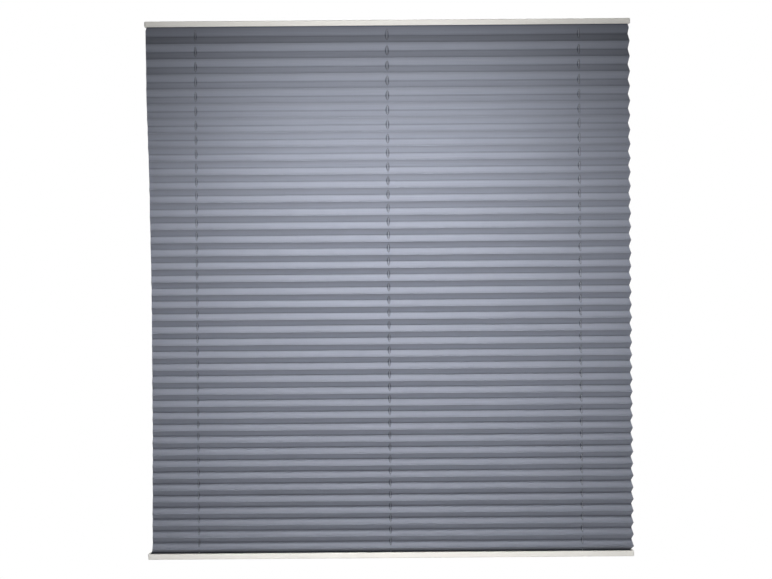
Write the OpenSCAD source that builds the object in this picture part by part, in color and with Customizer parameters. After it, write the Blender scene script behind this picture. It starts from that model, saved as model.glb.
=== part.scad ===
// Pleated window blind: two slim extruded rails, a pleated cloth between them, and three
// spring-tensioned guide cords along which the bottom rail slides up and down.
// Origin at the middle of the head rail's top face: X across the window, Y towards it, Z up.

/* [Blind] */
// Overall width over the end caps
blind_w = 1000; // [700:10:1400]
// Overall height from the head rail's top face to the bottom rail's underside
blind_h = 1108; // [700:4:1600]

/* [Rails] */
// Depth of a rail from front to back
rail_d = 22; // [20:0.5:28]
// Height of a rail
rail_h = 11.5; // [11:0.5:14]
// Wall of the rail extrusion
rail_wall = 1.2; // [1:0.1:1.4]
// Radius of a rail's outer edges
rail_r = 2; // [1:0.25:3]
// Thickness of the two lips beside the cloth slot
lip_t = 1.3; // [1:0.1:1.5]
// Width of the cloth slot between the lips
slot_w = 14; // [13:0.5:15]

/* [End caps] */
// Thickness of an end cap's plate
cap_t = 4; // [3:0.5:6]
// Chamfer round the outside of an end cap
cap_edge = 1.2; // [0.5:0.1:1.6]
// Length of an end cap's plug inside the rail
plug_len = 14; // [8:1:24]
// Wall of the hollow plug
plug_wall = 1.1; // [0.8:0.1:1.4]

/* [Cloth] */
// Thickness of the cloth
cloth_t = 0.4; // [0.3:0.05:0.5]
// How far the cloth's side edge stays inside the rail's end
cloth_inset = 1; // [0.5:0.5:4]
// Length of cloth between two folds
pleat_len = 20; // [19:0.5:22]
// Average distance between two front folds
pleat_pitch = 26.8; // [24:0.2:29]
// How much the cloth's own weight opens the top pleats more than the bottom ones
sag_share = 0.286; // [0:0.01:0.4]
// Height of the first back fold below the head rail
lead_in = 19; // [14:0.5:22]
// Height of the last front fold above the bottom rail
lead_out = 9; // [6:0.5:12]
// Width of the slit that a cord passes through
slit_w = 2.4; // [2:0.1:4]
// Reach of a slit from its back fold, as a share of the panel's height
slit_share = 0.62; // [0.6:0.01:0.7]
// Thickness of the stiff strip that the cloth's end is bonded to
strip_t = 1.6; // [1:0.1:1.8]

/* [Cords] */
// Diameter of a cord
cord_d = 1.2; // [0.8:0.1:1.4]
// Distance of the outer cords from the blind's ends
cord_inset = 104; // [80:2:160]
// Diameter of the knot on a cord's end
knot_d = 2.6; // [2.2:0.1:2.8]
// Length of the knot
knot_len = 2.4; // [1.6:0.1:2.6]
// Radius of a cord's bend above its guide in the head rail
bend_r = 1.5; // [1:0.1:1.8]

/* [Tension springs] */
// Clearance between a spring and the walls of the cord chamber
spring_gap = 0.2; // [0.1:0.05:0.4]
// Diameter of the spring wire
wire_d = 0.6; // [0.4:0.05:0.7]
// Number of turns
spring_turns = 18; // [10:1:24]
// Distance between turns when the cord is tight
spring_pitch = 1.8; // [1.4:0.1:2.4]
// Length of the block that holds the spring's far end
anchor_len = 9; // [6:0.5:16]

/* [Hidden] */

round_fn = 48;
edge_fn = 24;
overrun = 1;          // how far a cut runs past the face it opens
fit_gap = 0.1;        // between a moulded piece and the hole or channel that it is pressed into
run_gap = 0.3;        // round a cord that slides
slot_gap = 1;         // between the cloth's end fold and the slot's edge
guide_flange_t = 0.8; // flange of a cord guide inside the cord chamber
guide_flange_r = 3.2;
guide_barrel_r = 2.2;
guide_snap = 0.4;     // how far the snap edge stands out past the barrel
guide_snap_h = 0.6;
cord_lead = 6;        // straight cord between the bend and the spring
wire_sides = 6;
turn_steps = 10;
white = [0.88, 0.87, 0.85];
milk = [0.93, 0.93, 0.91];
cloth_grey = [0.55, 0.57, 0.62];
cord_grey = [0.78, 0.79, 0.81];
steel = [0.62, 0.63, 0.65];

// The rail's section from its plain outer face, at 0, down to the slot side.
strip_play = guide_snap_h + 2 * run_gap;
channel_h = strip_t + cloth_t + strip_play;
chamber_h = rail_h - 2 * rail_wall - lip_t - channel_h;
chamber_w = rail_d - 2 * rail_wall;
web_top = -(rail_wall + chamber_h);
web_low = web_top - rail_wall;
lip_top = -(rail_h - lip_t);
chamber_mid = web_top + chamber_h / 2;
rail_len = blind_w - 2 * cap_t;
cloth_w = rail_len - 2 * cloth_inset;
strip_w = chamber_w - 2 * run_gap;

// Cords: place across the blind and the way that each turns inside the head rail.
cord_xs = [-(blind_w / 2 - cord_inset), 0, blind_w / 2 - cord_inset];
cord_ways = [1, 1, -1];
guide_bore_r = cord_d / 2 + run_gap;
knot_bore_r = knot_d / 2 + 2 * run_gap;
guide_seat = web_top + guide_flange_t;
spring_d = chamber_h - 2 * spring_gap;
coil_r = (spring_d - wire_d) / 2;
neck_r = cord_d / 2 + fit_gap + wire_d / 2;
spring_len = spring_turns * spring_pitch;
spring_start = bend_r + cord_lead;
peg_len = 3 * spring_pitch;
peg_r = coil_r - wire_d / 2 - 2 * fit_gap;

// Folds: even ones are back folds, odd ones front folds. The pitch shrinks from the top down.
end_fold_y = slot_w / 2 - slot_gap;
head_hem_z = lip_top + cloth_t / 2;
bottom_hem_z = -blind_h - head_hem_z;
hem_reach = strip_w / 2 - slot_gap;
first_fold_z = -(rail_h + lead_in);
last_fold_z = -(blind_h - rail_h - lead_out);
fold_run = first_fold_z - last_fold_z;
pleats = round((2 * fold_run / pleat_pitch + 1) / 2);
fold_count = 2 * pleats;
function fold_t(i) = i / (fold_count - 1);
function drop_share(t) = (1 - sag_share / 3) * t + sag_share * (1 - pow(1 - t, 3)) / 3;
function rise_share(t) = 1 - sag_share / 3 + sag_share * pow(1 - t, 2);
function fold_z(i) = first_fold_z - fold_run * drop_share(fold_t(i));
function panel_rise(i) = fold_run / (fold_count - 1) * rise_share(fold_t(i));
function fold_depth(i) = sqrt(pow(pleat_len, 2) - pow(panel_rise(i), 2)) / 2;
function fold_side(i) = i % 2 == 0 ? 1 : -1;
folds = [for (i = [0 : fold_count - 1]) [fold_side(i) * fold_depth(i), fold_z(i)]];
head_fold = [-end_fold_y, head_hem_z];
bottom_fold = [end_fold_y, bottom_hem_z];
zigzag = concat([head_fold], folds, [bottom_fold]);
cloth_path = concat([[hem_reach, head_hem_z]], zigzag, [[-hem_reach, bottom_hem_z]]);

// Outline of a sheet of even thickness that follows a bent line, with sharp mitred folds.
function unit(v) = v / norm(v);
function left_of(a, b) = let (u = unit(b - a)) [-u.y, u.x];
function mitre(m, n) = (m + n) / (1 + m * n);
function beside(path, gap) = let (last = len(path) - 1) [
    for (i = [0 : last]) let (
        before = left_of(path[max(i - 1, 0)], path[max(i, 1)]),
        after = left_of(path[min(i, last - 1)], path[min(i + 1, last)])
    ) path[i] + gap * mitre(before, after)
];
function reversed(list) = [for (i = [len(list) - 1 : -1 : 0]) list[i]];
function sheet_outline(path, t) = concat(beside(path, t / 2), reversed(beside(path, -t / 2)));

// Extrudes a section drawn in Y and Z along X.
module across(length) {
    rotate([90, 0, 90])
        linear_extrude(length, center = true)
            children();
}

module rounded_plate(w, h, r, sides) {
    square([w - 2 * r, h], center = true);
    square([w, h - 2 * r], center = true);
    for (x = [-1, 1], y = [-1, 1])
        translate([x * (w / 2 - r), y * (h / 2 - r)])
            circle(r, $fn = sides);
}

module level_band(w, low, high) {
    translate([-w / 2, low])
        square([w, high - low]);
}

module rail_section() {
    difference() {
        translate([0, -rail_h / 2])
            rounded_plate(rail_d, rail_h, rail_r, round_fn);
        level_band(chamber_w, web_top, -rail_wall);
        level_band(chamber_w, lip_top, web_low);
        level_band(slot_w, -rail_h - overrun, lip_top + overrun);
    }
}

module upright_hole(x, r, low, high) {
    translate([x, 0, low])
        cylinder(h = high - low, r = r, $fn = round_fn);
}

module rail_bar() {
    difference() {
        across(rail_len)
            rail_section();
        for (x = cord_xs)
            upright_hole(x, guide_barrel_r + fit_gap, web_low - overrun, web_top + overrun);
    }
}

module head_rail() {
    color(white)
        rail_bar();
}

// The bottom rail is the same bar turned over, with holes below the knots.
module at_bottom() {
    translate([0, 0, -blind_h])
        mirror([0, 0, 1])
            children();
}

module bottom_rail() {
    color(white)
        at_bottom()
            difference() {
                rail_bar();
                for (x = cord_xs)
                    upright_hole(x, guide_flange_r + fit_gap, -rail_wall - overrun, overrun);
            }
}

// End cap for the end at +X: a chamfered plate and a hollow plug in the cord chamber.
module end_cap() {
    plug_w = chamber_w - 2 * fit_gap;
    plug_h = chamber_h - 2 * fit_gap;
    color(milk) {
        translate([blind_w / 2 - cap_t, 0, -rail_h / 2])
            hull() {
                translate([(cap_t - cap_edge) / 2, 0, 0])
                    across(cap_t - cap_edge)
                        rounded_plate(rail_d, rail_h, rail_r, edge_fn);
                translate([cap_t / 2, 0, 0])
                    across(cap_t)
                        rounded_plate(rail_d - 2 * cap_edge, rail_h - 2 * cap_edge, rail_r, edge_fn);
            }
        translate([rail_len / 2 - plug_len / 2, 0, chamber_mid])
            difference() {
                cube([plug_len, plug_w, plug_h], center = true);
                translate([-overrun, 0, 0])
                    cube([plug_len, plug_w - 2 * plug_wall, plug_h - 2 * plug_wall], center = true);
            }
    }
}

module fabric_strip() {
    color(milk)
        difference() {
            translate([0, 0, lip_top + cloth_t + strip_t / 2])
                cube([cloth_w, strip_w, strip_t], center = true);
            for (x = cord_xs)
                upright_hole(x, slit_w / 2, lip_top, web_low);
        }
}

// Slit with pointed ends, cut through the cloth from front to back.
module slit(x, low, high) {
    half_w = slit_w / 2;
    translate([x, 0, 0])
        rotate([90, 0, 0])
            linear_extrude(2 * rail_d, center = true)
                polygon([
                    [0, low - half_w], [half_w, low], [half_w, high],
                    [0, high + half_w], [-half_w, high], [-half_w, low]
                ]);
}

module cord_slits(x) {
    for (i = [1 : 2 : fold_count])
        let (above = zigzag[i - 1].y, here = zigzag[i].y, below = zigzag[i + 1].y)
            slit(x, here - slit_share * (here - below), here + slit_share * (above - here));
    last_rise = last_fold_z - bottom_hem_z;
    slit(x, bottom_hem_z + slit_w, bottom_hem_z + slit_share * last_rise);
    upright_hole(x, slit_w / 2, lip_top - overrun, lip_top + overrun);
    at_bottom()
        upright_hole(x, slit_w / 2, lip_top - overrun, lip_top + overrun);
}

module pleated_fabric() {
    color(cloth_grey)
        difference() {
            across(cloth_w)
                polygon(sheet_outline(cloth_path, cloth_t));
            for (x = cord_xs)
                cord_slits(x);
        }
}

// Half section of a cord guide below its seat, from the bore outwards: it snaps into the web.
snap_outline = [
    [guide_flange_r, web_top],
    [guide_barrel_r, web_top],
    [guide_barrel_r, web_low],
    [guide_barrel_r + guide_snap, web_low],
    [guide_barrel_r, web_low - guide_snap_h],
    [guide_bore_r, web_low - guide_snap_h],
    [guide_bore_r, guide_seat]
];

module guide_body(top_outline) {
    color(milk)
        rotate_extrude($fn = round_fn)
            polygon(concat(top_outline, snap_outline));
}

module head_cord_guide(side) {
    translate([cord_xs[side], 0, 0])
        guide_body([[guide_flange_r, guide_seat]]);
}

// The bottom guide has a well that hides the cord's knot and lets it out as the rail rises.
module bottom_cord_guide(side) {
    at_bottom()
        translate([cord_xs[side], 0, 0])
            guide_body([[knot_bore_r, guide_seat], [knot_bore_r, 0], [guide_flange_r, 0]]);
}

// Puts a piece of the tension unit at its cord and turns it the right way.
module at_tension(side) {
    translate([cord_xs[side], 0, chamber_mid])
        mirror([cord_ways[side] < 0 ? 1 : 0, 0, 0])
            children();
}

module along_x(start, length, r) {
    translate([start, 0, 0])
        rotate([0, 90, 0])
            cylinder(h = length, r = r, $fn = round_fn);
}

module cord(side) {
    stop_z = -blind_h - guide_seat - chamber_mid;
    color(cord_grey)
        at_tension(side) {
            upright_hole(0, cord_d / 2, stop_z - knot_len, -bend_r);
            upright_hole(0, knot_d / 2, stop_z - knot_len, stop_z);
            translate([bend_r, 0, -bend_r])
                rotate([90, 0, 0])
                    rotate_extrude(angle = 90, start = 90, $fn = round_fn)
                        translate([bend_r, 0])
                            circle(d = cord_d, $fn = edge_fn);
            along_x(bend_r, cord_lead + spring_pitch + knot_len, cord_d / 2);
            along_x(spring_start + spring_pitch, knot_len, knot_d / 2);
        }
}

// Extension spring: a narrow neck round the cord widens over the first turn to full coils.
function coil_turn_r(turn) = turn < 1 ? neck_r + (coil_r - neck_r) * turn : coil_r;
function coil_point(step, side) = let (
    turn = step / turn_steps,
    round_wire = 360 * side / wire_sides,
    r = coil_turn_r(turn) + wire_d / 2 * cos(round_wire),
    x = spring_pitch * turn + wire_d / 2 * sin(round_wire)
) [x, r * cos(360 * turn), r * sin(360 * turn)];

module spring_coil() {
    last = spring_turns * turn_steps;
    points = [for (step = [0 : last], side = [0 : wire_sides - 1]) coil_point(step, side)];
    walls = [
        for (step = [0 : last - 1], side = [0 : wire_sides - 1]) let (
            a = step * wire_sides + side,
            b = step * wire_sides + (side + 1) % wire_sides
        ) each [[a, b, b + wire_sides], [a, b + wire_sides, a + wire_sides]]
    ];
    start_face = [for (side = [wire_sides - 1 : -1 : 0]) side];
    end_face = [for (side = [0 : wire_sides - 1]) last * wire_sides + side];
    polyhedron(points, concat([start_face, end_face], walls));
}

module tension_spring(side) {
    color(steel)
        at_tension(side)
            translate([spring_start, 0, 0])
                spring_coil();
}

module spring_anchor(side) {
    block_start = spring_start + spring_len + wire_d / 2;
    block_w = chamber_w - 2 * fit_gap;
    block_h = chamber_h - fit_gap;
    color(milk)
        at_tension(side) {
            translate([block_start, -block_w / 2, -chamber_h / 2])
                cube([anchor_len, block_w, block_h]);
            along_x(block_start - peg_len, peg_len + anchor_len / 2, peg_r);
        }
}

head_rail();
mirror([1, 0, 0]) end_cap();  // head_end_cap_left
end_cap();  // head_end_cap_right
fabric_strip();  // head_fabric_strip
pleated_fabric();
head_cord_guide(0);  // head_cord_guide_left
head_cord_guide(1);  // head_cord_guide_middle
head_cord_guide(2);  // head_cord_guide_right
cord(0);  // cord_left
cord(1);  // cord_middle
cord(2);  // cord_right
tension_spring(0);  // tension_spring_left
tension_spring(1);  // tension_spring_middle
tension_spring(2);  // tension_spring_right
spring_anchor(0);  // spring_anchor_left
spring_anchor(1);  // spring_anchor_middle
spring_anchor(2);  // spring_anchor_right
bottom_rail();
at_bottom() mirror([1, 0, 0]) end_cap();  // bottom_end_cap_left
at_bottom() end_cap();  // bottom_end_cap_right
at_bottom() fabric_strip();  // bottom_fabric_strip
bottom_cord_guide(0);  // bottom_cord_guide_left
bottom_cord_guide(1);  // bottom_cord_guide_middle
bottom_cord_guide(2);  // bottom_cord_guide_right
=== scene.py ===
"""Looks of a pleated window blind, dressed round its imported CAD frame.

Sizes of the cloth and of the frame that it follows are in millimetres, and MM turns them into
metres. All other lengths are in metres.
"""

import math
import random

import bpy
import numpy as np
from mathutils import Matrix, Vector


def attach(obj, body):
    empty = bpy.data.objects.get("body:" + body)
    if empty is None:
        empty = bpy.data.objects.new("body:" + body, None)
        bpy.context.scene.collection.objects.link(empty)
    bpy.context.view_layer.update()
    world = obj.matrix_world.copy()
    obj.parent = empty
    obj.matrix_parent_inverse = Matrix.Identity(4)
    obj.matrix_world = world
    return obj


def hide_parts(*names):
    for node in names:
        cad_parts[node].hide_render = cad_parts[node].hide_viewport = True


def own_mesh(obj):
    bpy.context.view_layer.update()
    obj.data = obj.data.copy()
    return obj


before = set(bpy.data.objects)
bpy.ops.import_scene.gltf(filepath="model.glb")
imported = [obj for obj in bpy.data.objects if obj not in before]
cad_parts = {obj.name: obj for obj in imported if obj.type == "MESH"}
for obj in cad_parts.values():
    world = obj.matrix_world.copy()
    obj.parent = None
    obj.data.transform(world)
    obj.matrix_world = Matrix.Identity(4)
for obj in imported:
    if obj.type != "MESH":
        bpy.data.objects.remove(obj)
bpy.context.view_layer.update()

MM = 0.001
SEED = 71
WHITE = (1, 1, 1, 1)

# Frame that the cloth follows
HEAD_HEM_Z = -10.0
BOTTOM_HEM_Z = -1098.0
HEM_REACH = 8.5
END_FOLD_Y = 6.0
FIRST_FOLD_Z = -30.5
LAST_FOLD_Z = -1087.5
FOLD_COUNT = 80
PLEAT_LEN = 20.0
SAG_SHARE = 0.286
CLOTH_W = 990.0
CORD_XS = (-396.0, 0.0, 396.0)
HEAD_MOUTH_Z = -11.5
BOTTOM_MOUTH_Z = -1096.5

# Cloth: thickness, which grows from BEAD_FROM of the way to a fold until it is FOLD_T
CLOTH_T = 0.35
FOLD_T = 1.0
BEAD_FROM = 0.94
BEAD_RAMP = 0.04
SHARP_ANGLE = math.radians(28)

# Cloth: unevenness. The drifts of the side edges are (share of the drop, shift in X)
FOLD_PULL = 0.16
PANEL_BOW = 0.22
BOW_RANGE = (0.4, 1.0)
FOLD_WAVE = 0.32
WAVES_PER_FOLD = 3
WAVE_RANGE = (0.4, 1.0)
WAVE_LENGTHS = (500.0, 1300.0)
EDGE_ROUGHNESS = 0.35
EDGE_SKEW = 1.2
EDGE_SKEW_FROM = 420.0
LEFT_DRIFT = ((0.0, -3.6), (0.12, -2.8), (0.3, 2.0), (0.5, 5.0), (0.75, 5.2), (1.0, 3.0))
RIGHT_DRIFT = ((0.0, 4.4), (0.12, 3.8), (0.5, 3.8), (0.8, 4.4), (1.0, 4.2))
DRIFT_FADE = 8.0

# Cloth: columns of points, slits for the cords, and rows close to the head rail's mouth
COLUMN_STEP = 70.0
COLUMN_GAP = 0.5
SLIT_OFFSETS = (0.9, 1.8, 2.7, 3.6, 5.0, 20.0)
SLIT_OPEN = 0.66
SLIT_AT_FOLD = 0.05
HEM_SLIT_HALF = 0.7
HEM_SLIT_TIP = 1.9
HEAD_MOUTH_ROWS = (HEAD_MOUTH_Z - 0.3, HEAD_MOUTH_Z - 2.1)

# Cloth: shades painted on its points. Rings and valleys are (share of the drop, value)
# Painted shadow round each cord's slit, drawn as a ring whose half width is read by height
SLIT_RINGS = ((0.0, 2.9), (0.4, 2.1), (1.0, 1.5))
RING_TIP = 0.30
CORD_RING_SHARES = dict(zip(CORD_XS, (0.55, 1.0, 0.6)))
SLIT_SHADOW_REACH = 0.8
FOLD_SLIT_SHADOW = 0.9
# Painted shade where the cloth enters a rail's slot, and a softer painted shadow under the head
# rail
MOUTH_REACH = 4.0
RAIL_SHADE = 0.5
RAIL_SHADE_REACH = 45.0
VALLEY_SHADES = ((0.0, 0.0), (0.6, 0.0), (1.0, 0.5))
# Painted shade along the folds, darkest in the back folds' valleys and lighter on the front folds
BACK_FOLD_SHADE = 1.0
FRONT_FOLD_SHADE = 0.35

# Rows of a panel from its back fold to its front fold. A row lies at the sum of a fixed share of
# the way, a part of the way to the cords and a part of the way on from them. Then come the slit's
# half width, the painted shadow round it, the painted fold shade, and the part of the painted
# valley shade
PANEL_STOPS = (
    (0.014, 0.0, 0.0, SLIT_AT_FOLD, 0.90, 0.90, 0.0),
    (0.035, 0.0, 0.0, SLIT_AT_FOLD, 0.90, 0.60, 1.0),
    (0.0, 0.40, 0.0, 0.10, 0.85, 0.0, 1.0),
    (0.0, 0.72, 0.0, 0.30, 0.80, 0.0, 0.55),
    (-0.040, 1.0, 0.0, SLIT_OPEN, 0.80, 0.0, 0.0),
    (0.040, 1.0, 0.0, SLIT_OPEN, 0.80, 0.0, 0.0),
    (0.0, 1.0, 0.18, 0.06, 0.75, 0.0, 0.0),
    (0.0, 1.0, RING_TIP, 0.0, 0.20, 0.0, 0.0),
    (0.965, 0.0, 0.0, 0.0, 0.0, 0.40, 0.0),
    (0.986, 0.0, 0.0, 0.0, 0.0, 0.40, 0.0),
)

# Materials
THREAD = 0.42 * MM
# How far the painted fold shade darkens the cloth's colour
FOLD_SHADE_MIX = 0.5
# How far the painted shadow darkens the cloth's colour
SHADOW_MIX = 0.9
BRAID_PITCH = 1.6 * MM
BRAID_STRANDS = 4.0
ROUGH_SPREAD = 0.08
FLOOR_GLOW = 0.6

# Sockets of a Mix node that blends colours
MIX_SHARE, MIX_A, MIX_B = 0, 6, 7
MIX_RESULT = 2

random.seed(SEED)


def add_object(name, data):
    made = bpy.data.objects.new(name, data)
    bpy.context.scene.collection.objects.link(made)
    return made


# Node helpers

def put(mat, socket, value):
    if isinstance(value, bpy.types.NodeSocket):
        mat.node_tree.links.new(value, socket)
    else:
        socket.default_value = value


def node(mat, kind, inputs=None, **settings):
    made = mat.node_tree.nodes.new(kind)
    for key, value in settings.items():
        setattr(made, key, value)
    for key, value in (inputs or {}).items():
        put(mat, made.inputs[key], value)
    return made


def maths(mat, operation, a, b=0.0):
    return node(mat, "ShaderNodeMath", {0: a, 1: b}, operation=operation).outputs[0]


def span(mat, value, low, high):
    """A value from 0 to 1 spread between low and high."""
    inputs = {"Value": value, "To Min": low, "To Max": high}
    return node(mat, "ShaderNodeMapRange", inputs).outputs[0]


def noise(mat, vector, scale, detail=2.0):
    inputs = {"Vector": vector, "Scale": scale, "Detail": detail}
    return node(mat, "ShaderNodeTexNoise", inputs).outputs[0]


def streaks(mat, vector, scales, detail=2.0):
    """Noise with its own scale on each axis, drawn out where the scale is small."""
    drawn = node(mat, "ShaderNodeVectorMath", {0: vector, 1: scales}, operation="MULTIPLY")
    return noise(mat, drawn.outputs[0], scale=1.0, detail=detail)


def blend_colour(mat, share, a, b):
    inputs = {MIX_SHARE: share, MIX_A: a, MIX_B: b}
    return node(mat, "ShaderNodeMix", inputs, data_type="RGBA").outputs[MIX_RESULT]


def linear(red, green, blue):
    """A display colour, 0 to 255, as the linear colour that shaders take, by the sRGB curve."""
    def one(c):
        c /= 255
        return c / 12.92 if c <= 0.04045 else ((c + 0.055) / 1.055) ** 2.4
    return (one(red), one(green), one(blue), 1.0)


def object_point(mat):
    return node(mat, "ShaderNodeTexCoord").outputs["Object"]


def bump(mat, height, strength, distance, normal=None):
    inputs = {"Height": height, "Strength": strength, "Distance": distance}
    if normal is not None:
        inputs["Normal"] = normal
    return node(mat, "ShaderNodeBump", inputs).outputs["Normal"]


def seen_directly(mat):
    """1 for a ray from the camera, a glossy or a clear surface, 0 for other rays."""
    ray = node(mat, "ShaderNodeLightPath").outputs
    direct = maths(mat, "MAXIMUM", ray["Is Camera Ray"], ray["Is Glossy Ray"])
    return maths(mat, "MAXIMUM", direct, ray["Is Transmission Ray"])


def new_material(name, shader_values):
    mat = bpy.data.materials.new(name)
    mat.use_nodes = True
    mat.node_tree.nodes.clear()
    shader = node(mat, "ShaderNodeBsdfPrincipled", shader_values)
    out = node(mat, "ShaderNodeOutputMaterial")
    put(mat, out.inputs["Surface"], shader.outputs["BSDF"])
    return mat, shader


def dress(mat, shader, colour, roughness, normal):
    put(mat, shader.inputs["Base Color"], colour)
    put(mat, shader.inputs["Roughness"], roughness)
    put(mat, shader.inputs["Normal"], normal)
    return mat


# Materials

def rail_lacquer():
    mat, shader = new_material(
        "rail_lacquer", {"Specular IOR Level": 0.45, "Coat Weight": 0.12, "Coat Roughness": 0.3}
    )
    point = object_point(mat)
    drawn = streaks(mat, point, scales=(3.0, 1500.0, 1500.0), detail=3.0)
    cloudy = noise(mat, point, scale=14.0, detail=3.0)
    peel = noise(mat, point, scale=900.0, detail=1.0)
    colour = blend_colour(mat, cloudy, linear(238, 235, 228), linear(246, 243, 237))
    lines = span(mat, drawn, low=0.0, high=0.16)
    grain = bump(mat, peel, strength=0.25, distance=0.02 * MM)
    return dress(
        mat, shader,
        colour=blend_colour(mat, lines, colour, linear(222, 220, 214)),
        roughness=span(mat, drawn, low=0.34, high=0.52),
        normal=bump(mat, drawn, strength=0.3, distance=0.03 * MM, normal=grain),
    )


def moulded(name, pale, deep, grain_scale, rough, translucent=0.0):
    mat, shader = new_material(name, {
        "Specular IOR Level": 0.4,
        "Subsurface Weight": translucent,
        "Subsurface Scale": 1.5 * MM,
    })
    point = object_point(mat)
    cloudy = noise(mat, point, scale=60.0, detail=3.0)
    grain = noise(mat, point, scale=grain_scale)
    return dress(
        mat, shader,
        colour=blend_colour(mat, cloudy, deep, pale),
        roughness=span(mat, grain, low=rough - ROUGH_SPREAD, high=rough + ROUGH_SPREAD),
        normal=bump(mat, grain, strength=0.35, distance=0.04 * MM),
    )


def braided_cord():
    """Strands that cross round the cord: the angle comes from the surface normal."""
    mat, shader = new_material("cord_braid", {"Specular IOR Level": 0.3, "Sheen Weight": 0.2})
    point = object_point(mat)
    normal = node(mat, "ShaderNodeNewGeometry").outputs["Normal"]
    facing = node(mat, "ShaderNodeSeparateXYZ", {0: normal}).outputs
    around = maths(mat, "ARCTAN2", facing["Y"], facing["X"])
    place = node(mat, "ShaderNodeSeparateXYZ", {0: point}).outputs
    along = maths(mat, "MULTIPLY", place["Z"], 2 * math.pi / BRAID_PITCH)
    turned = maths(mat, "MULTIPLY", around, BRAID_STRANDS)
    left = maths(mat, "SINE", maths(mat, "ADD", turned, along))
    right = maths(mat, "SINE", maths(mat, "SUBTRACT", turned, along))
    strands = span(mat, maths(mat, "MULTIPLY", left, right), low=0.3, high=0.8)
    fuzz = noise(mat, point, scale=2500.0)
    return dress(
        mat, shader,
        # Painted shade: the colour is darker where the strands dip and lighter on their crowns
        colour=blend_colour(mat, strands, linear(120, 123, 132), linear(164, 167, 176)),
        roughness=span(mat, fuzz, low=0.62, high=0.82),
        normal=bump(mat, strands, strength=0.6, distance=0.12 * MM),
    )


def spring_steel():
    mat, shader = new_material("spring_steel", {"Metallic": 1.0})
    drawn = streaks(mat, object_point(mat), scales=(2500.0, 300.0, 300.0))
    return dress(
        mat, shader,
        colour=blend_colour(mat, drawn, linear(150, 151, 153), linear(196, 197, 199)),
        roughness=span(mat, drawn, low=0.24, high=0.42),
        normal=bump(mat, drawn, strength=0.3, distance=0.02 * MM),
    )


def woven_cloth():
    """Plain weave in grey yarn: slubs run along the weft, painted shades make it darker."""
    mat, shader = new_material(
        "woven_cloth",
        {"Specular IOR Level": 0.06, "Sheen Weight": 0.12, "Sheen Roughness": 0.5},
    )
    uv = node(mat, "ShaderNodeUVMap", uv_map="UVMap").outputs["UV"]
    place = node(mat, "ShaderNodeSeparateXYZ", {0: uv}).outputs
    warp, weft = [
        maths(mat, "SINE", maths(mat, "MULTIPLY", place[axis], 2 * math.pi / THREAD))
        for axis in ("X", "Y")
    ]
    weave = maths(mat, "MULTIPLY", warp, weft)
    slub = streaks(mat, uv, scales=(9.0, 900.0, 1.0), detail=3.0)
    cross = streaks(mat, uv, scales=(1100.0, 14.0, 1.0))
    cloudy = streaks(mat, uv, scales=(5.0, 9.0, 1.0), detail=3.0)
    fold_shade, painted_shadow = [
        node(mat, "ShaderNodeAttribute", attribute_name=mark).outputs["Fac"]
        for mark in ("fold_shade", "painted_shadow")
    ]
    layers = (
        (span(mat, cross, low=0.0, high=0.22), linear(124, 128, 140)),
        (span(mat, cloudy, low=0.0, high=0.16), linear(158, 162, 172)),
        (span(mat, weave, low=0.0, high=0.10), linear(112, 116, 127)),
        # Painted shade along the folds and in the valleys of the lower pleats
        (maths(mat, "MULTIPLY", fold_shade, FOLD_SHADE_MIX), linear(62, 65, 76)),
        # Painted shadow round the cord slits, painted shade at the rails' mouths and under the
        # head rail
        (maths(mat, "MULTIPLY", painted_shadow, SHADOW_MIX), linear(46, 48, 58)),
    )
    yarn = blend_colour(mat, slub, linear(127, 131, 142), linear(153, 157, 168))
    for share, colour in layers:
        yarn = blend_colour(mat, share, yarn, colour)
    fine = bump(mat, weave, strength=0.35, distance=0.05 * MM)
    return dress(
        mat, shader,
        colour=yarn,
        roughness=span(mat, slub, low=0.74, high=0.90),
        normal=bump(mat, slub, strength=0.2, distance=0.08 * MM, normal=fine),
    )


def floor_material():
    mat, shader = new_material("pale_floor", {"Roughness": 0.8})
    mottle = noise(mat, object_point(mat), scale=6.0, detail=3.0)
    colour = blend_colour(mat, mottle, linear(236, 236, 236), linear(246, 246, 246))
    put(mat, shader.inputs["Base Color"], colour)
    glow = node(mat, "ShaderNodeEmission", {"Color": WHITE, "Strength": 1.0})
    share = maths(mat, "MULTIPLY", seen_directly(mat), FLOOR_GLOW)
    mix = node(mat, "ShaderNodeMixShader", {0: share, 1: shader.outputs[0], 2: glow.outputs[0]})
    out = next(n for n in mat.node_tree.nodes if n.type == "OUTPUT_MATERIAL")
    put(mat, out.inputs["Surface"], mix.outputs[0])
    return mat


# Pleated cloth

def clamp(value):
    return min(1.0, max(0.0, value))


def by_height(table, z):
    """A value from a table of (share of the drop, value), read at that height."""
    share = (HEAD_HEM_Z - z) / (HEAD_HEM_Z - BOTTOM_HEM_Z)
    return float(np.interp(share, [t for t, _ in table], [d for _, d in table]))


def drop_share(t):
    return (1 - SAG_SHARE / 3) * t + SAG_SHARE * (1 - (1 - t) ** 3) / 3


def rise_share(t):
    return 1 - SAG_SHARE / 3 + SAG_SHARE * (1 - t) ** 2


def zigzag_points():
    """Folds in (Y, Z) from the head rail's slot to the bottom rail's, front and back by turns."""
    run = FIRST_FOLD_Z - LAST_FOLD_Z
    points = [(-END_FOLD_Y, HEAD_HEM_Z)]
    for i in range(FOLD_COUNT):
        t = i / (FOLD_COUNT - 1)
        rise = run / (FOLD_COUNT - 1) * rise_share(t)
        depth = math.sqrt(PLEAT_LEN ** 2 - rise ** 2) / 2
        side = 1 if i % 2 == 0 else -1
        points.append((side * depth, FIRST_FOLD_Z - run * drop_share(t)))
    points.append((END_FOLD_Y, BOTTOM_HEM_Z))
    return points


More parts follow.
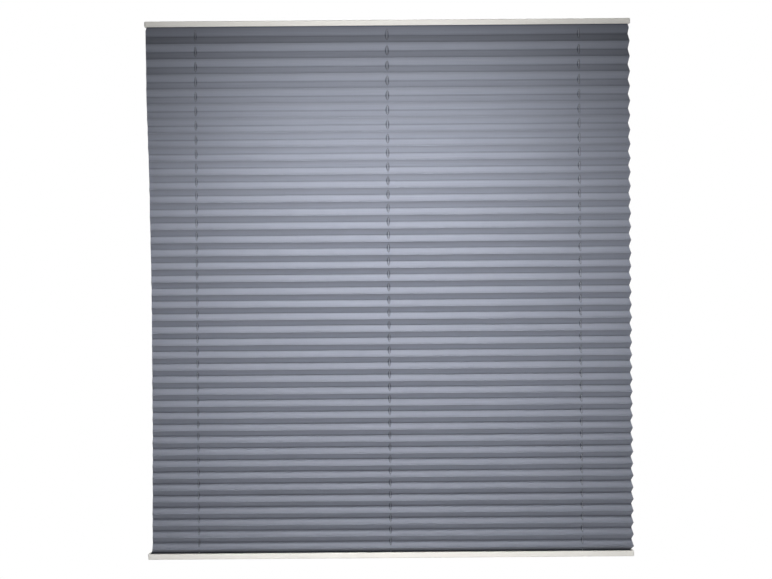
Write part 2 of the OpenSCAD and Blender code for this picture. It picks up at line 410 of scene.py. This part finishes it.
def row(y, z, fold_shade=0.0, open_w=0.0, painted_shadow=0.0, ring=0.0, bow=(0.0, 0.0), front=0.5, fold=None):
    return {
        "y": y, "z": z, "fold_shade": fold_shade, "open": open_w, "painted_shadow": painted_shadow, "ring": ring,
        "bow": bow, "front": front, "fold": fold,
    }


def hem_rows(start, end, z):
    """Flat hem inside a rail, with an opening for each cord at Y 0."""
    way = 1 if end > start else -1
    return [
        row(start, z),
        row(start / 2, z),
        row(-way * HEM_SLIT_TIP, z),
        row(-way * HEM_SLIT_HALF, z, open_w=SLIT_OPEN),
        row(way * HEM_SLIT_HALF, z, open_w=SLIT_OPEN),
        row(way * HEM_SLIT_TIP, z),
    ]


def panel_rows(start, end, start_is_back, index):
    """Rows between two folds, without the folds. Shares run from the back fold to the front."""
    back, front = (start, end) if start_is_back else (end, start)
    cross = abs(back[0]) / (abs(back[0]) + abs(front[0]))
    rest = 1 - cross
    ring_tip = cross + rest * RING_TIP
    # Painted shade that deepens the valleys of the lower pleats
    valley = by_height(VALLEY_SHADES, back[1]) if start_is_back else 0.0
    stops = []
    for fixed, to_cords, past_cords, open_w, painted_shadow, fold_shade, of_valley in PANEL_STOPS:
        share = fixed + cross * to_cords + rest * past_cords
        stops.append((share, open_w, painted_shadow, max(fold_shade, valley * of_valley)))
    if index == 0:
        for z in HEAD_MOUTH_ROWS:
            stops.append(((z - back[1]) / (front[1] - back[1]), 0.0, 0.0, 0.0))
        stops.sort()
    along = Vector((front[0] - back[0], front[1] - back[1])).normalized()
    out = (-along[1], along[0])
    sign = random.choice((-1, 1)) * random.uniform(*BOW_RANGE)
    rows = []
    for share, open_w, painted_shadow, fold_shade in stops:
        y = back[0] + (front[0] - back[0]) * share
        z = back[1] + (front[1] - back[1]) * share
        swell = sign * PANEL_BOW * math.sin(math.pi * share)
        shares = (1 - share, share) if start_is_back else (share, 1 - share)
        ring = by_height(SLIT_RINGS, z) * max(0.0, 1 - (share / ring_tip) ** 2)
        bow = (out[0] * swell, out[1] * swell)
        rows.append(row(y, z, fold_shade, open_w, painted_shadow, ring, bow, share, (index, shares)))
    return rows if start_is_back else rows[::-1]


def fold_row(points, k):
    """The fold's own row, pulled in a little so that the fold is round."""
    here = Vector(points[k])
    is_last = k + 1 == len(points)
    before = Vector(points[k - 1]) if k > 0 else Vector((HEM_REACH, HEAD_HEM_Z))
    after = Vector((-HEM_REACH, BOTTOM_HEM_Z)) if is_last else Vector(points[k + 1])
    inward = ((before - here).normalized() + (after - here).normalized()).normalized()
    place = here + FOLD_PULL * inward
    is_back = k % 2 == 1
    has_slit = is_back and not is_last
    return row(
        place[0], place[1],
        fold_shade=BACK_FOLD_SHADE if is_back else FRONT_FOLD_SHADE,
        open_w=SLIT_AT_FOLD if has_slit else 0.0,
        painted_shadow=FOLD_SLIT_SHADOW if has_slit else 0.0,
        ring=by_height(SLIT_RINGS, place[1]),
        front=0.0 if is_back else 1.0,
        fold=(k, (1.0, 0.0)),
    )


def cloth_rows():
    points = zigzag_points()
    rows = hem_rows(HEM_REACH, -END_FOLD_Y, HEAD_HEM_Z)
    for k in range(len(points) - 1):
        rows.append(fold_row(points, k))
        rows.extend(panel_rows(points[k], points[k + 1], k % 2 == 1, k))
    rows.append(fold_row(points, len(points) - 1))
    hem = hem_rows(-HEM_REACH, END_FOLD_Y, BOTTOM_HEM_Z)
    rows.extend(hem[::-1])
    return rows, len(points)


def cloth_columns():
    """(x, cord or None, side of the slit) from left to right."""
    half = CLOTH_W / 2
    columns = []
    for cord_x in CORD_XS:
        columns.append((cord_x, cord_x, -1))
        columns.append((cord_x, cord_x, 1))
        for offset in SLIT_OFFSETS:
            columns.append((cord_x - offset, cord_x, 0))
            columns.append((cord_x + offset, cord_x, 0))
    stops = [-half]
    for cord_x in CORD_XS:
        stops.extend((cord_x - SLIT_OFFSETS[-1], cord_x + SLIT_OFFSETS[-1]))
    stops.append(half)
    for low, high in zip(stops[0::2], stops[1::2]):
        pieces = max(1, round((high - low) / COLUMN_STEP))
        for i in range(pieces + 1):
            x = low + (high - low) * i / pieces
            if all(abs(x - c[0]) > COLUMN_GAP for c in columns):
                columns.append((x, None, 0))
    return sorted(columns, key=lambda c: (c[0], c[2]))


def fold_waves(count):
    """Slow seeded waves along X for each fold, so that no two folds are quite alike."""
    waves = []
    for _ in range(count):
        waves.append([
            (
                random.uniform(*WAVE_RANGE),
                random.uniform(*WAVE_LENGTHS),
                random.uniform(0, 2 * math.pi),
            )
            for _ in range(WAVES_PER_FOLD)
        ])
    return waves


def wave_at(wave, x):
    parts = (size * math.sin(2 * math.pi * x / length + phase) for size, length, phase in wave)
    return sum(parts) / len(wave)


def edge_ramp(x):
    """0 over the middle of the cloth, rising smoothly to 1 at its side edges."""
    t = clamp((abs(x) - EDGE_SKEW_FROM) / (CLOTH_W / 2 - EDGE_SKEW_FROM))
    return t * t * (3 - 2 * t)


def free(z):
    """0 where a rail's slot holds the cloth, 1 where it hangs free."""
    return clamp(min(HEAD_HEM_Z - z, z - BOTTOM_HEM_Z) / DRIFT_FADE)


def mouth_shade(z):
    """Painted shade: 1 where the cloth enters a rail's slot, with a softer painted shadow under
    the head rail.
    """
    from_mouth = min(HEAD_MOUTH_Z - z, z - BOTTOM_MOUTH_Z)
    close = clamp(1 - from_mouth / MOUTH_REACH)
    under = RAIL_SHADE * max(0.0, 1 - max(0.0, HEAD_MOUTH_Z - z) / RAIL_SHADE_REACH) ** 2
    return max(close, under)


def rim_shade(line, x, cord_x):
    """Painted shade at a rail's mouth, or painted shadow round a cord's slit where that is darker.
    """
    shade = mouth_shade(line["z"])
    if cord_x is None or not line["painted_shadow"]:
        return shade
    off_ring = abs(x - cord_x) - line["ring"] * CORD_RING_SHARES[cord_x]
    return max(shade, line["painted_shadow"] * math.exp(-((off_ring / SLIT_SHADOW_REACH) ** 2) / 2))


def folds_beside(line, hung_folds):
    """(fold, share) for the folds between the rails that a row moves with."""
    if not line["fold"]:
        return []
    k, shares = line["fold"]
    return [(f, share) for f, share in zip((k, k + 1), shares) if f in hung_folds and share]


def fold_bead(folds):
    """1 on a fold between the rails, which is drawn thicker than the cloth, 0 away from it."""
    near = max((share for _, share in folds), default=0.0)
    return clamp((near - BEAD_FROM) / BEAD_RAMP)


def whole_sheet():
    """Points of the sheet, row by row from the head rail's hem to the bottom rail's."""
    rows, fold_total = cloth_rows()
    columns = cloth_columns()
    rises = fold_waves(fold_total)
    depths = fold_waves(fold_total)
    edges = [[random.uniform(-1, 1) for _ in range(2)] for _ in range(fold_total)]
    hung_folds = range(1, fold_total - 1)
    sheet = {"verts": [], "fold_shade": [], "painted_shadow": [], "bead": [], "flat": [], "grid": []}
    length = 0.0
    for r, line in enumerate(rows):
        if r:
            before = rows[r - 1]
            length += math.hypot(line["y"] - before["y"], line["z"] - before["z"])
        folds = folds_beside(line, hung_folds)
        bead = fold_bead(folds)
        ids = []
        for x0, cord_x, side in columns:
            if side > 0 and line["open"] == 0:
                ids.append(ids[-1])
                continue
            ramp = edge_ramp(x0)
            x = x0 + side * line["open"]
            y = line["y"] + line["bow"][0]
            z = line["z"] + line["bow"][1]
            for fold, share in folds:
                z += share * FOLD_WAVE * wave_at(rises[fold], x0)
                y += share * FOLD_WAVE * wave_at(depths[fold], x0)
                x += share * EDGE_ROUGHNESS * ramp * edges[fold][0 if x0 < 0 else 1]
            if line["fold"]:
                drift = by_height(LEFT_DRIFT if x0 < 0 else RIGHT_DRIFT, line["z"])
                x += ramp * free(line["z"]) * (EDGE_SKEW * (line["front"] - 0.5) + drift)
            ids.append(len(sheet["verts"]))
            sheet["verts"].append((x * MM, y * MM, z * MM))
            sheet["fold_shade"].append(line["fold_shade"])
            sheet["painted_shadow"].append(rim_shade(line, x0, cord_x))
            sheet["bead"].append(bead)
            sheet["flat"].append((x0 * MM, length * MM))
        sheet["grid"].append(ids)
    sheet.update(levels=[line["z"] for line in rows], columns=columns, length=length)
    return sheet


def sheet_faces(lines, columns, low):
    """Faces between neighbouring rows, with none across a slit."""
    faces = []
    for upper, lower in zip(lines, lines[1:]):
        for c in range(len(columns) - 1):
            if columns[c][2] < 0:
                continue
            corners = []
            for v in (upper[c], lower[c], lower[c + 1], upper[c + 1]):
                if v - low not in corners:
                    corners.append(v - low)
            faces.append(corners)
    return faces


def cloth_piece(name, sheet, start, stop):
    """The sheet from one row to another, as a piece of its own."""
    lines = sheet["grid"][start:stop + 1]
    low = lines[0][0]
    high = lines[-1][-1] + 1
    mesh = bpy.data.meshes.new(name)
    mesh.from_pydata(sheet["verts"][low:high], [], sheet_faces(lines, sheet["columns"], low))
    mesh.validate()
    for mark in ("fold_shade", "painted_shadow"):
        layer = mesh.attributes.new(mark, "FLOAT", "POINT")
        layer.data.foreach_set("value", sheet[mark][low:high])
    uv_layer = mesh.uv_layers.new(name="UVMap")
    for loop in mesh.loops:
        uv_layer.data[loop.index].uv = sheet["flat"][low + loop.vertex_index]
    mesh.polygons.foreach_set("use_smooth", [True] * len(mesh.polygons))
    mesh.set_sharp_from_angle(angle=SHARP_ANGLE)
    uses = [0] * len(mesh.edges)
    for loop in mesh.loops:
        uses[loop.edge_index] += 1
    for edge in mesh.edges:
        if uses[edge.index] == 1:
            edge.use_edge_sharp = True
    piece = add_object(name, mesh)
    beads = piece.vertex_groups.new(name="bead")
    for v, weight in enumerate(sheet["bead"][low:high]):
        if weight:
            beads.add([v], weight, "REPLACE")
    shell = piece.modifiers.new("thickness", "SOLIDIFY")
    shell.thickness = FOLD_T * MM
    shell.vertex_group = "bead"
    shell.thickness_vertex_group = CLOTH_T / FOLD_T
    shell.offset = 0.0
    return piece


# Each hem stays in its rail's slot: the head hem and the pleats between the two rails go with the
# head rail, and the bottom hem goes with the bottom rail
sheet = whole_sheet()
levels = sheet["levels"]
first_free = min(r for r, z in enumerate(levels) if z < HEAD_MOUTH_Z)
last_free = max(r for r, z in enumerate(levels) if z > BOTTOM_MOUTH_Z)
cloth = cloth_piece("pleated_cloth", sheet, first_free, last_free)
head_hem = cloth_piece("cloth_head_hem", sheet, 0, first_free)
bottom_hem = cloth_piece("cloth_bottom_hem", sheet, last_free, len(levels) - 1)
weave = woven_cloth()
for piece, body in ((cloth, "head"), (head_hem, "head"), (bottom_hem, "bottom")):
    piece.data.materials.append(weave)
    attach(piece, body)
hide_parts("pleated_fabric")
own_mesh(cloth)


# Materials of the rigid pieces: the longest key found in a piece's name counts

lacquer = rail_lacquer()
cap_plastic = moulded(
    "cap_plastic", pale=linear(238, 236, 230), deep=linear(229, 227, 220),
    grain_scale=1600.0, rough=0.5,
)
milky_plastic = moulded(
    "milky_plastic", pale=linear(240, 240, 236), deep=linear(228, 228, 224),
    grain_scale=1100.0, rough=0.42, translucent=0.1,
)
braid = braided_cord()
steel = spring_steel()
finishes = {
    "rail": lacquer,
    "end_cap": cap_plastic,
    "fabric_strip": milky_plastic,
    "cord_guide": milky_plastic,
    "spring_anchor": milky_plastic,
    "tension_spring": steel,
    "cord_left": braid,
    "cord_middle": braid,
    "cord_right": braid,
}
for name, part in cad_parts.items():
    if name == "pleated_fabric":
        continue
    found = [key for key in finishes if key in name]
    best = max(found, key=len)
    part.data.materials.clear()
    part.data.materials.append(finishes[best])


# Camera

PIXEL = 2.058 * MM
IMAGE_W = 772
IMAGE_H = 579
CAMERA_AT = Vector((-0.19, -2.89, -0.41))
CAMERA_REACH = 2.88
CLIP_END = 50.0
SENSOR = 36.0
ROLL = math.radians(-0.443)
AXIS_PX = (296.3, 219.65)

camera_data = bpy.data.cameras.new("camera")
camera_data.sensor_width = SENSOR
camera_data.lens = CAMERA_REACH / PIXEL / IMAGE_W * SENSOR
camera_data.shift_x = (IMAGE_W / 2 - AXIS_PX[0]) / IMAGE_W
camera_data.shift_y = (AXIS_PX[1] - IMAGE_H / 2) / IMAGE_W
camera_data.clip_end = CLIP_END
camera = add_object("camera", camera_data)
turn = Matrix.Rotation(math.pi / 2, 4, "X") @ Matrix.Rotation(ROLL, 4, "Z")
camera.matrix_world = Matrix.Translation(CAMERA_AT) @ turn
bpy.context.scene.camera = camera


# Lights, world and floor

# Name, place, target, width and height, power in watts, spread in degrees
LAMPS = (
    ("near_box", (-0.01, -0.45, -0.20), (-0.01, 0.0, -0.25), (0.64, 0.15), 0.88, 100.0),
    ("high_box", (0.0, -1.15, 0.35), (0.0, 0.0, -0.68), (1.1, 0.4), 2.75, 45.0),
    ("front_box", (0.02, -1.3, -0.98), (0.02, 0.0, -0.98), (1.0, 0.6), 4.9, 140.0),
    ("low_box", (0.0, -0.6, -1.25), (0.0, 0.0, -0.5), (0.9, 0.2), 0.28, 60.0),
    ("rail_box", (0.0, -0.6, 0.03), (0.0, 0.0, 0.03), (1.16, 0.02), 0.08, 10.0),
    ("back_box", (0.25, 1.3, 0.8), (0.0, 0.0, -0.5), (1.2, 1.2), 27.0, 180.0),
)
AMBIENT = 0.02
FLOOR_Z = -1.30
FLOOR_NEAR_Y = -4.0
FLOOR_FAR_Y = 0.5
FLOOR_HALF_W = 3.0


def area_light(name, place, target, size, power, spread):
    data = bpy.data.lights.new(name, "AREA")
    data.shape = "RECTANGLE"
    data.size, data.size_y = size
    data.energy = power
    data.spread = math.radians(spread)
    lamp = add_object(name, data)
    lamp.location = place
    lamp.rotation_euler = (Vector(target) - Vector(place)).to_track_quat("-Z", "Y").to_euler()
    lamp.visible_camera = False


for settings in LAMPS:
    area_light(*settings)

world = bpy.data.worlds.new("studio")
bpy.context.scene.world = world
world.use_nodes = True
world.node_tree.nodes.clear()
sky = node(world, "ShaderNodeBackground", {"Color": WHITE})
put(world, sky.inputs["Strength"], span(world, seen_directly(world), low=AMBIENT, high=1.0))
world_out = node(world, "ShaderNodeOutputWorld")
put(world, world_out.inputs["Surface"], sky.outputs[0])

floor_mesh = bpy.data.meshes.new("floor")
floor_mesh.from_pydata(
    [
        (-FLOOR_HALF_W, FLOOR_NEAR_Y, FLOOR_Z), (FLOOR_HALF_W, FLOOR_NEAR_Y, FLOOR_Z),
        (FLOOR_HALF_W, FLOOR_FAR_Y, FLOOR_Z), (-FLOOR_HALF_W, FLOOR_FAR_Y, FLOOR_Z),
    ],
    [], [(0, 1, 2, 3)],
)
floor_mesh.materials.append(floor_material())
floor = add_object("floor", floor_mesh)

bpy.context.scene.view_settings.view_transform = "Standard"
